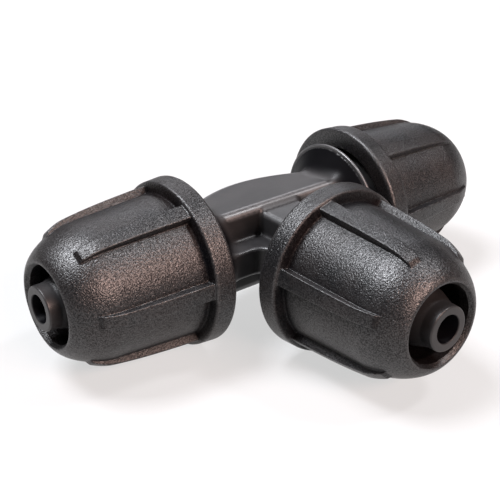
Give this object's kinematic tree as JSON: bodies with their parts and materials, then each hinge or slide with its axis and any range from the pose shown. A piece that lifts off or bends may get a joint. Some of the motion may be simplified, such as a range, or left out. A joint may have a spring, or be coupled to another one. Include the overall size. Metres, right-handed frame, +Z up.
{
  "type": "hose tee fitting",
  "caption": "Moulded plastic tee for drip irrigation hose, with barbed ports, flared collars and ribbed lock nuts that screw along each port.",
  "frame": {"origin": "centre of the bounding box, on the surface that the fitting lies on", "axes": "+X along the run towards the backed-off nut, -Y along the branch, +Z up"},
  "size_m": [0.0502, 0.0332, 0.0164],
  "materials": {
    "body_plastic": "smooth satin moulded plastic, charcoal grey",
    "nut_plastic": "black moulded plastic with a fine spark-eroded grain"
  },
  "bodies": {
    "tee": {"tee_body": "body_plastic"},
    "left_nut": {"left_nut": "nut_plastic"},
    "right_nut": {"right_nut": "nut_plastic"},
    "branch_nut": {"branch_nut": "nut_plastic"}
  },
  "joints": [
    {"name": "left_nut_travel", "type": "slide", "parent": "tee", "child": "left_nut", "axis": [-1, 0, 0], "range_m": [0, 0.006]},
    {"name": "right_nut_travel", "type": "slide", "parent": "tee", "child": "right_nut", "axis": [1, 0, 0], "range_m": [-0.00095, 0.00505]},
    {"name": "branch_nut_travel", "type": "slide", "parent": "tee", "child": "branch_nut", "axis": [0, -1, 0], "range_m": [0, 0.006]}
  ]
}
